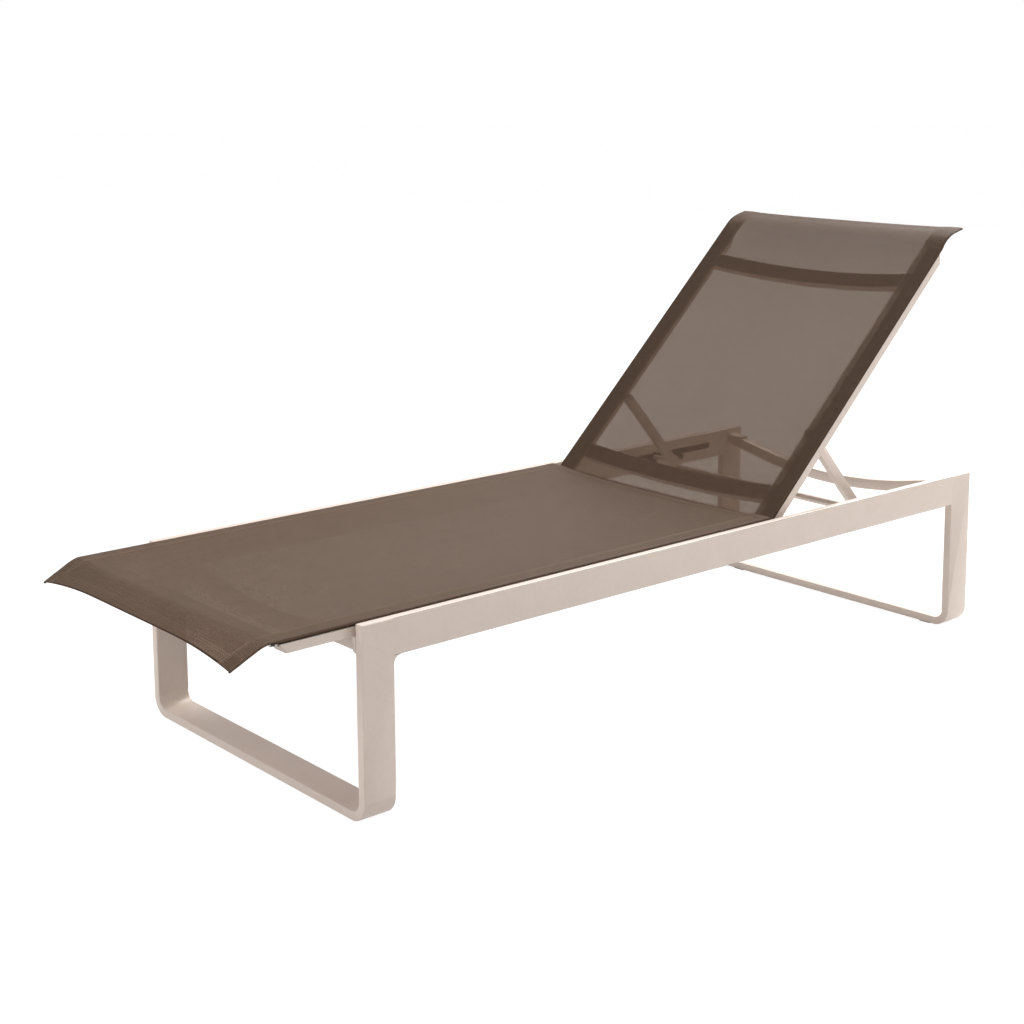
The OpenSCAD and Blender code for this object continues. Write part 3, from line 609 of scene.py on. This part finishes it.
for side, sign in (("left", -1), ("right", 1)):
    low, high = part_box(side + "_seat_rail")
    rod_low, rod_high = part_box(side + "_seat_spline")
    rod_y, rod_z = (rod_low.y + rod_high.y) / 2, (rod_low.z + rod_high.z) / 2
    sleeve(side + "_seat_spline_sleeve", "frame", Vector((low.x, rod_y, rod_z)),
           Vector((rod_low.x + SLEEVE_INSET, rod_y, rod_z)), QUARTER_TURN)
    edge_y = low.y if sign < 0 else high.y
    outer_cap(side + "_seat_rail_outer_cap", edge_y, sign, low.x, high.z, low.z)
    rod_low, rod_high = back_box(side + "_back_spline")
    rail_end = back_box(side + "_back_rail")[1].x

    def on_spline(u, rod_low=rod_low, rod_high=rod_high):
        """A point of the back spline's axis, in the row frame."""
        middle = (rod_low + rod_high) / 2
        return pivot + u * along_back + middle.z * off_back + Vector((0, middle.y, 0))

    sleeve(side + "_back_spline_sleeve", "backrest", on_spline(rail_end),
           on_spline(rod_high.x - SLEEVE_INSET), QUARTER_TURN - back_angle)
print("4 sleeves, 2 outer caps")

# %% [markdown]
# ## Slings
# A sling is one length of coated mesh, stretched sideways by a rod in each edge. The cloth leaves
# the rail's channel, turns over the rail's outer corner, lies on its top and sags a little
# between the rails. Past the rails it bends down to a free end, and the seat's corners droop.
# One function places a point of the cloth from its distance along the sling, its distance across
# from the middle and its height off the inner face, so hems and stitches follow the same form.

# %% Shape of a sling
CLOTH_GAP = 0.3
FOLD_R = 2.0
MOUTH_R = 1.6
rail_w = rail_width / MM
SIDE_DROP = 1.5
TUCK = 2.0


def cross_section(across, sag, side):
    """Place of the cloth in its cross-section, in mm over the rails' top, and its normal."""
    s, sign = abs(across), math.copysign(1, across)
    inner = side - rail_w
    steps = (rail_w - FOLD_R, QUARTER_TURN * (FOLD_R + CLOTH_GAP), SIDE_DROP,
             QUARTER_TURN * MOUTH_R)
    if s < inner:
        y, v = s, CLOTH_GAP - sag * (1 - (s / inner) ** 3)
        slope = 3 * sag * s * s / inner ** 3
        ny, nv = -slope, 1.0
    elif s < inner + steps[0]:
        y, v, ny, nv = s, CLOTH_GAP, 0.0, 1.0
    elif s < inner + sum(steps[:2]):
        turn = (s - inner - steps[0]) / (FOLD_R + CLOTH_GAP)
        ny, nv = math.sin(turn), math.cos(turn)
        y, v = side - FOLD_R + (FOLD_R + CLOTH_GAP) * ny, -FOLD_R + (FOLD_R + CLOTH_GAP) * nv
    elif s < inner + sum(steps[:3]):
        y, v, ny, nv = side + CLOTH_GAP, -FOLD_R - (s - inner - sum(steps[:2])), 1.0, 0.0
    else:
        turn = min(QUARTER_TURN, (s - inner - sum(steps[:3])) / MOUTH_R)
        ny, nv = math.cos(turn), -math.sin(turn)
        past = max(0.0, s - inner - sum(steps))
        y = side + CLOTH_GAP - MOUTH_R + MOUTH_R * ny - past
        v = -FOLD_R - steps[2] + MOUTH_R * nv
    return y * sign, v, ny * sign, nv


class Sling:
    """The form of one sling. Lengths are in mm, along it from its start and across from its
    middle. corners holds each free corner's droop and reach, near side first."""

    def __init__(self, name, side, side_hem, flat, bend_angle, tail, sags, corners, lead,
                 to_row):
        self.name, self.side, self.side_hem, self.flat, self.tail = name, side, side_hem, flat, tail
        self.bend_angle, self.sags, self.to_row = math.radians(bend_angle), sags, to_row
        self.near_corner, self.far_corner = corners
        self.lead = lead
        self.bend = BEND_R * self.bend_angle
        self.length = flat + self.bend + tail
        self.half = (side - FOLD_R + QUARTER_TURN * (FOLD_R + CLOTH_GAP) + SIDE_DROP
                     + QUARTER_TURN * MOUTH_R + TUCK)

    def sag_at(self, along):
        """Sag of the middle: settled after the start, and running out towards the free end."""
        first, settled, last = self.sags
        share = min(1.0, along / self.flat)
        if share < SETTLE:
            return first + (settled - first) * share / SETTLE
        return settled + (last - settled) * ((share - SETTLE) / (1 - SETTLE)) ** 4

    def at(self, along, y, v):
        """A point of the sling's space, in the row frame."""
        done = min(1.0, max(0.0, along - self.flat) / (self.bend + self.tail))
        hang = min(1.0, max(0.0, (abs(y) - HANG_FROM * self.side)
                            / ((1 - HANG_FROM) * self.side)) ** 2)
        droop, reach = self.near_corner if y < 0 else self.far_corner
        stretched = along + reach * done * hang
        angle = min(self.bend_angle, max(0.0, stretched - self.flat) / BEND_R)
        past = max(0.0, stretched - self.flat - self.bend)
        if v < 0:
            loose = min(1.0, max(0.0, along - self.flat + POCKET_RUN) / POCKET_RUN)
            v *= 1 - (1 - POCKET_SHARE) * loose * loose * (3 - 2 * loose)
        u = min(stretched, self.flat) + (BEND_R + v) * math.sin(angle) + past * math.cos(angle)
        w = (BEND_R * (math.cos(angle) - 1) + v * math.cos(angle) - past * math.sin(angle)
             - droop * done * hang)
        return self.to_row(u, y, w)

    def place(self, along, across, depth):
        """A point of the cloth, in the row frame; depth is its height off the inner face."""
        y, v, ny, nv = cross_section(across, self.sag_at(along), self.side)
        return self.at(along, y + depth * ny, v + depth * nv)


BEND_R = 80
SETTLE = 0.1
HANG_FROM = 0.4
POCKET_RUN, POCKET_SHARE = 20, 0.4
seat_flap, back_flap, seat_head_run = 12, 24, 8
seat_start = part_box("seat_sling")[1].x + seat_head_run * MM
seat = Sling("seat", side=seat_high.y / MM, side_hem=36,
             flat=(seat_start - seat_low.x) / MM + seat_flap, bend_angle=17.5, tail=47,
             sags=(9, 8, 0), corners=((10.5, 7), (16.5, 0)), lead=0,
             to_row=lambda u, y, w: Vector((seat_start - u * MM, y * MM, seat_high.z + w * MM)))
back = Sling("back", side=back_high.y / MM, side_hem=50,
             flat=back_high.x / MM + back_flap, bend_angle=30, tail=26,
             sags=(9, 9, 6.75), corners=((0, 0), (0, 0)), lead=12,
             to_row=lambda u, y, w: (pivot + u * MM * along_back + (back_high.z + w * MM) * off_back
                                     + Vector((0, y * MM, 0))))
for sling in (seat, back):
    print(sling.name, "cloth", round(2 * sling.half), "by", round(sling.length), "mm")

# %% [markdown]
# The cloth is woven from PVC-coated yarn, with small square holes that let light and air through.
# The real yarns stand about one millimetre apart, too fine to show here, so they are drawn
# coarser. The material mixes the yarn with a clear shader for the holes. Because the cloth has
# two faces, a slanting view sees through less of it, as with real yarn.

# %% Coated mesh
def woven_mesh(name, warp, weft, gap_share):
    """Open weave of PVC-coated polyester yarn, with round yarns and square holes."""
    made, tree, output = new_material(name)
    pitch, slub_length, slub_width, patch_size = 2.2 * MM, 30 * MM, 3 * MM, 60 * MM
    cloth_map = add_node(tree, "ShaderNodeUVMap", uv_map="cloth")
    axes = add_node(tree, "ShaderNodeSeparateXYZ", {0: cloth_map.outputs[0]})
    off_yarn, over = [], []
    for axis in (0, 1):
        count = add_node(tree, "ShaderNodeMath", {0: axes.outputs[axis], 1: 1 / pitch},
                         operation="MULTIPLY")
        share = add_node(tree, "ShaderNodeMath", {0: count.outputs[0]}, operation="FRACT")
        centred = add_node(tree, "ShaderNodeMath", {0: share.outputs[0], 1: 0.5},
                           operation="SUBTRACT")
        size = add_node(tree, "ShaderNodeMath", {0: centred.outputs[0]}, operation="ABSOLUTE")
        doubled = add_node(tree, "ShaderNodeMath", {0: size.outputs[0], 1: 2.0},
                           operation="MULTIPLY")
        off_yarn.append(doubled.outputs[0])
        wave = add_node(tree, "ShaderNodeMath", {0: count.outputs[0], 1: math.pi},
                        operation="MULTIPLY")
        crossing = add_node(tree, "ShaderNodeMath", {0: wave.outputs[0]}, operation="SINE")
        over.append(crossing.outputs[0])
    widest = add_node(tree, "ShaderNodeMath", {0: off_yarn[0], 1: off_yarn[1]}, operation="MAXIMUM")
    solid = add_node(tree, "ShaderNodeMath", {0: widest.outputs[0], 1: gap_share},
                     operation="GREATER_THAN")
    checker = add_node(tree, "ShaderNodeMath", {0: over[0], 1: over[1]}, operation="MULTIPLY")
    slub = add_node(tree, "ShaderNodeVectorMath",
                    {0: cloth_map.outputs[0], 1: (1 / slub_length, 1 / slub_width, 1)},
                    operation="MULTIPLY")
    fibre = add_node(tree, "ShaderNodeTexNoise",
                     {"Vector": slub.outputs[0], "Scale": 1.0, "Detail": 2.0})
    patch = add_node(tree, "ShaderNodeTexNoise",
                     {"Vector": cloth_map.outputs[0], "Scale": 1 / patch_size, "Detail": 2.0})
    faint = add_node(tree, "ShaderNodeMath", {0: patch.outputs[0], 1: 0.25}, operation="MULTIPLY")
    tone = add_node(tree, "ShaderNodeMath", {0: fibre.outputs[0], 1: faint.outputs[0]},
                    operation="ADD")
    weave_tone = add_node(tree, "ShaderNodeMath", {0: checker.outputs[0], 1: 0.35},
                          operation="MULTIPLY")
    tone = add_node(tree, "ShaderNodeMath", {0: tone.outputs[0], 1: weave_tone.outputs[0]},
                    operation="ADD")
    spread_tone = add_node(tree, "ShaderNodeMapRange",
                           {"Value": tone.outputs[0], "From Min": 0.2, "From Max": 1.05})
    shade = add_node(tree, "ShaderNodeValToRGB", {0: spread_tone.outputs[0]})
    shade.color_ramp.elements[0].color = linear(weft)
    shade.color_ramp.elements[1].color = linear(warp)
    height = add_node(tree, "ShaderNodeMath", {0: widest.outputs[0], 1: checker.outputs[0]},
                      operation="ADD")
    bump = add_node(tree, "ShaderNodeBump", {"Height": height.outputs[0], "Strength": 0.3,
                                             "Distance": 0.2 * MM})
    skin = add_node(tree, "ShaderNodeBsdfPrincipled",
                    {"Base Color": shade.outputs[0], "Roughness": 0.6, "Normal": bump.outputs[0],
                     "IOR": 1.45, "Specular IOR Level": 0.12})
    # Light that slips past the yarns takes on a little of their warm colour.
    gap = add_node(tree, "ShaderNodeBsdfTransparent", {"Color": linear("#F8EFE9")})
    cloth = add_node(tree, "ShaderNodeMixShader",
                     {0: solid.outputs[0], 1: gap.outputs[0], 2: skin.outputs[0]})
    tree.links.new(cloth.outputs[0], output.inputs["Surface"])
    return made


def sewing_thread(name, dark, light):
    """Twisted polyester thread: dull, with the ribs of its twist. In near black it also colours the
    painted shadow strips.
    """
    made, tree, output = new_material(name)
    place = add_node(tree, "ShaderNodeTexCoord")
    twist_size = 0.6 * MM
    twist = add_node(tree, "ShaderNodeTexNoise",
                     {"Vector": place.outputs["Object"], "Scale": 1 / twist_size, "Detail": 3.0})
    shade = add_node(tree, "ShaderNodeValToRGB", {0: twist.outputs[0]})
    shade.color_ramp.elements[0].color = linear(dark)
    shade.color_ramp.elements[1].color = linear(light)
    bump = add_node(tree, "ShaderNodeBump",
                    {"Height": twist.outputs[0], "Strength": 0.5, "Distance": 0.1 * MM})
    skin = add_node(tree, "ShaderNodeBsdfPrincipled",
                    {"Base Color": shade.outputs[0], "Roughness": 0.9, "Normal": bump.outputs[0],
                     "Specular IOR Level": 0.1})
    tree.links.new(skin.outputs[0], output.inputs["Surface"])
    return made


taupe_mesh = woven_mesh("taupe_sling_mesh", "#6C5747", "#544337", 0.475)
thread = sewing_thread("polyester_thread", "#7C6757", "#8F7968")
# A paler copy of the same thread: a painted highlight for the rows over the end hem's corners.
lit_thread = sewing_thread("painted_highlight_thread", "#A89A8C", "#C4B7AA")
# Near-black strips paint the shade under each free end and in the rail's slit beside each side.
shade_tape = sewing_thread("painted_shadow_strip", "#35271E", "#45352A")

# %% [markdown]
# A strip of cloth is a grid of points on the sling's form. Its rows run along the sling and its
# columns across, each with its own height, so a hem can turn round the free end and lie under
# the cloth. The flat distances are kept as the UV map, because a weave doesn't stretch with the
# grid. Solidify then gives the strip its two faces.

# %% Strips of cloth
SHEET_T = 0.3
HALF_PITCH = 1.1


def spread(*stops):
    """Evenly spaced values between stops, given as start, (end, step), (end, step)."""
    values = [stops[0]]
    for end, step in stops[1:]:
        count = max(1, round(abs(end - values[-1]) / step))
        first = values[-1]
        values += [first + (end - first) * k / count for k in range(1, count + 1)]
    return values


def cloth_strip(name, sling, rows, columns, offset=0.0, finish=taupe_mesh):
    """A sheet through rows (along, depth) and columns (across, depth), with a flat UV map."""
    points = [sling.place(along, across, row_depth + column_depth)
              for along, row_depth in rows for across, column_depth in columns]
    travelled = [0.0]
    for (a0, d0), (a1, d1) in zip(rows, rows[1:]):
        travelled.append(travelled[-1] + math.hypot(a1 - a0, d1 - d0))
    n = len(columns)
    faces = [(i * n + j, (i + 1) * n + j, (i + 1) * n + j + 1, i * n + j + 1)
             for i in range(len(rows) - 1) for j in range(n - 1)]
    mesh = bpy.data.meshes.new(name)
    mesh.from_pydata(points, [], faces)
    flat_map = mesh.uv_layers.new(name="cloth")
    for loop in mesh.loops:
        i, j = divmod(loop.vertex_index, n)
        flat_map.data[loop.index].uv = ((columns[j][0] + offset) * MM, (travelled[i] + offset) * MM)
    piece = bpy.data.objects.new(name, mesh)
    bpy.context.scene.collection.objects.link(piece)
    middle = mesh.polygons[len(mesh.polygons) // 2]
    if middle.normal.z < 0:
        mesh.flip_normals()
    mesh.materials.append(finish)
    select_only(piece)
    bpy.ops.object.modifier_add(type="SOLIDIFY")
    piece.modifiers[0].thickness = SHEET_T * MM
    piece.modifiers[0].offset = -1
    bpy.ops.object.modifier_apply(modifier=piece.modifiers[0].name)
    bpy.ops.object.shade_smooth_by_angle(angle=SOFT_ANGLE)
    return piece


# %% [markdown]
# The sheet itself lies half a millimetre off the inner face where the hems are folded under it,
# and drops to the inner face between them. That step is what shows a hem from above. A
# near-black strip runs down each side, where the edge is tucked into the rail, and another wraps
# the free end. Both are painted shade for the slit and for the underside there. The seat's flap
# has a lining, a guess that makes it as dark as the photographed one. The grid is
# fine where the cloth bends or steps, and coarse where it only sags.

# %% Sheets and hems
END_HEM = 23
START_HEM = 18
HEM_LIFT = 0.45
# The tape and the side strips are near-black painted shade, not a real binding.
TAPE_W, TAPE_LIFT, TAPE_UNDER = 2.4, 0.35, -0.05
SHADE_STRIP_W, SHADE_STRIP_LIFT = 5.4, 0.4
LINING_LAP = 30
LIFT_RUN = 2.5
COARSE_GRID, FINE_GRID = 24, 9
HEM_STEP, LIFT_STEP, EDGE_STEP = 4, 1.3, 0.6
BEND_LEAD, BEND_STEP, TOP_STEP = 20, 3, 6
CREASE, CREASE_STEP = 4, 1.5


def hem_lift(distance, width):
    """Extra height of the sheet over a hem, fading out over its inner edge."""
    return HEM_LIFT * min(1.0, max(0.0, (width + LIFT_RUN - distance) / LIFT_RUN))


def sewn_sling(sling, body):
    """One sling: the sheet, its side and end hems, and the near-black painted shadow strips round
    its free end and along its sides.
    """
    grid = FINE_GRID
    end, hem_out = sling.length, sling.half - sling.side
    top, under = HEM_LIFT + SHEET_T, SHEET_T
    alongs = spread(0, (START_HEM - 1, HEM_STEP), (START_HEM + 3, LIFT_STEP),
                    (sling.flat - BEND_LEAD, grid), (end - END_HEM - CREASE, BEND_STEP),
                    (end - END_HEM + CREASE, CREASE_STEP), (end, HEM_STEP))
    half_columns = spread(0, (sling.side - sling.side_hem - CREASE, grid),
                          (sling.side - rail_w + 3, LIFT_STEP),
                          (sling.side - FOLD_R, TOP_STEP), (sling.half, EDGE_STEP))
    acrosses = [-c for c in reversed(half_columns[1:])] + half_columns
    between = [c for c in acrosses if abs(c) < sling.side - rail_w - 2]
    lifts = [max(hem_lift(end - a, END_HEM), hem_lift(a + sling.lead, START_HEM)) for a in alongs]
    sheet_rows = [(a, lift + SHEET_T) for a, lift in zip(alongs, lifts)]
    sheet_columns = [(c, hem_lift(sling.half - abs(c), sling.side_hem + hem_out)) for c in acrosses]
    sheet = cloth_strip(sling.name + "_cloth", sling, sheet_rows, sheet_columns)
    hems = []
    for sign in (-1, 1):
        columns = [c for c in half_columns if c >= sling.side - sling.side_hem]
        hems.append(cloth_strip(f"{sling.name}_side_hem_{'left' if sign < 0 else 'right'}", sling,
                                [(a, under) for a in alongs],
                                [(sign * c, 0.0) for c in columns], HALF_PITCH))
    inner = [c for c in acrosses if abs(c) < sling.side - sling.side_hem - 0.5]
    hems.append(cloth_strip(sling.name + "_end_hem", sling,
                            [(a, under) for a in spread(end, (end - END_HEM, HEM_STEP))],
                            [(c, 0.0) for c in inner], HALF_PITCH))
    if sling.name == "seat":
        lining = [(a, TAPE_UNDER) for a in spread(sling.flat - LINING_LAP,
                                                  (end - END_HEM, HEM_STEP))]
        hems.append(cloth_strip("seat_flap_lining", sling, lining,
                                [(c, 0.0) for c in inner], HALF_PITCH))
    start = -sling.lead
    fold = [(start + 0.4, top), (start, top), (start - 0.35, 0.85 * top), (start - 0.5, 0.5 * top),
            (start - 0.35, 0.25 * top), (start, 0.0)]
    if sling.lead:
        fold = [(0.0, top)] + fold
    hems.append(cloth_strip(sling.name + "_start_hem", sling, fold + [(start + START_HEM, 0.0)],
                            [(c, 0.0) for c in between], HALF_PITCH))
    # The dark tape round the free end is painted shade for its underside.
    tape_top = top + TAPE_LIFT
    tape = [(end - TAPE_W, tape_top), (end, tape_top), (end + 0.5, 0.9 * top),
            (end + 0.75, 0.5 * top), (end + 0.5, 0.1 * top), (end, TAPE_UNDER),
            (end - TAPE_W, TAPE_UNDER)]
    hems.append(cloth_strip(sling.name + "_shade_tape", sling, tape, [(c, 0.0) for c in acrosses],
                            HALF_PITCH, shade_tape))
    # Dark strips along the sides are painted shade for the rail's slit.
    for sign in (-1, 1):
        columns = [sign * c for c in spread(sling.half - SHADE_STRIP_W, (sling.half, EDGE_STEP))]
        hems.append(cloth_strip(f"{sling.name}_welt_{'left' if sign < 0 else 'right'}", sling,
                                [(a, top + SHADE_STRIP_LIFT) for a in alongs], [(c, 0.0) for c in columns],
                                HALF_PITCH, shade_tape))
    for piece in [sheet] + hems:
        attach(piece, body)
    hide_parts(sling.name + "_sling")
    return sheet, hems


seat_cloth, seat_hems = sewn_sling(seat, "frame")
back_cloth, back_hems = sewn_sling(back, "backrest")

# %% [markdown]
# Two rows of lockstitch hold every hem. One stitch is a short rounded bead that stands a little
# out of the cloth, and each row repeats it at the stitch length. Real thread is about half a
# millimetre thick, too fine to show here, so it is drawn coarser. Where the side hems' rows cross
# the end hem, the same thread is drawn in a paler copy of its colour, a painted highlight.

# %% Stitching
STITCH_L, STITCH_PITCH, STITCH_LIFT = 4.0, 5.0, 1.0
STITCH_R, CORNER_STITCH_R = 0.4, 0.6
STITCH_SMOOTH_ANGLE = math.radians(60)
stitch_rings = [(-0.5, 0.35), (-0.3, 0.9), (0.3, 0.9), (0.5, 0.35)]
stitch_arc = [math.radians(a) for a in (0, 60, 120, 180)]


def stitch_rows(sling, body, name, rows, finish=thread, radius=STITCH_R):
    """Rows of stitches as one piece. A row is (along0, across0, along1, across1) on the cloth."""
    points, faces = [], []
    for along0, across0, along1, across1 in rows:
        length = math.hypot(along1 - along0, across1 - across0)
        ahead = ((along1 - along0) / length, (across1 - across0) / length)
        for k in range(int(length / STITCH_PITCH)):
            middle = (k + 0.5) * STITCH_PITCH
            first = len(points)
            for x, size in stitch_rings:
                for turn in stitch_arc:
                    side = radius * size * math.cos(turn)
                    at = middle + x * STITCH_L
                    points.append(sling.place(along0 + ahead[0] * at - ahead[1] * side,
                                              across0 + ahead[1] * at + ahead[0] * side,
                                              STITCH_LIFT + radius * size * math.sin(turn)))
            rings, ring = len(stitch_rings), len(stitch_arc)
            for i in range(rings - 1):
                for j in range(ring):
                    a, b = first + i * ring + j, first + i * ring + (j + 1) % ring
                    faces.append((a, b, b + ring, a + ring))
            faces.append(tuple(first + j for j in reversed(range(ring))))
            faces.append(tuple(first + (rings - 1) * ring + j for j in range(ring)))
    mesh = bpy.data.meshes.new(name)
    mesh.from_pydata(points, [], faces)
    piece = bpy.data.objects.new(name, mesh)
    bpy.context.scene.collection.objects.link(piece)
    mesh.materials.append(finish)
    select_only(piece)
    bpy.ops.object.mode_set(mode="EDIT")
    bpy.ops.mesh.select_all(action="SELECT")
    bpy.ops.mesh.normals_make_consistent(inside=False)
    bpy.ops.object.mode_set(mode="OBJECT")
    bpy.ops.object.shade_smooth_by_angle(angle=STITCH_SMOOTH_ANGLE)
    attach(piece, body)
    print(name, len(rows), "rows,", len(faces), "faces")
    return piece


SIDE_ROWS = (2.5, 7)
END_ROWS = (15.5, 20.5)
ROW_MARGIN = 3


def hem_rows(sling):
    """Two rows down each side hem, up to the end hem, and two across the end hem."""
    rows = []
    for sign in (-1, 1):
        for inset in SIDE_ROWS:
            across = sign * (sling.side - sling.side_hem + inset)
            rows.append((ROW_MARGIN, across, sling.length - END_HEM, across))
    for inset in END_ROWS:
        rows.append((sling.length - inset, -sling.side + ROW_MARGIN,
                     sling.length - inset, sling.side - ROW_MARGIN))
    return rows


def corner_rows(sling):
    """The side hems' two rows where they cross the end hem."""
    return [(sling.length - END_HEM, sign * (sling.side - sling.side_hem + inset),
             sling.length - TAPE_W, sign * (sling.side - sling.side_hem + inset))
            for sign in (-1, 1) for inset in SIDE_ROWS]


# The corner rows use the paler thread, a painted highlight.
seat_stitches = [stitch_rows(seat, "frame", "seat_stitches", hem_rows(seat)),
                 stitch_rows(seat, "frame", "seat_corner_stitches", corner_rows(seat),
                             lit_thread, CORNER_STITCH_R)]
back_stitches = [stitch_rows(back, "backrest", "back_stitches", hem_rows(back)),
                 stitch_rows(back, "backrest", "back_corner_stitches", corner_rows(back),
                             lit_thread, CORNER_STITCH_R)]

low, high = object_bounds()
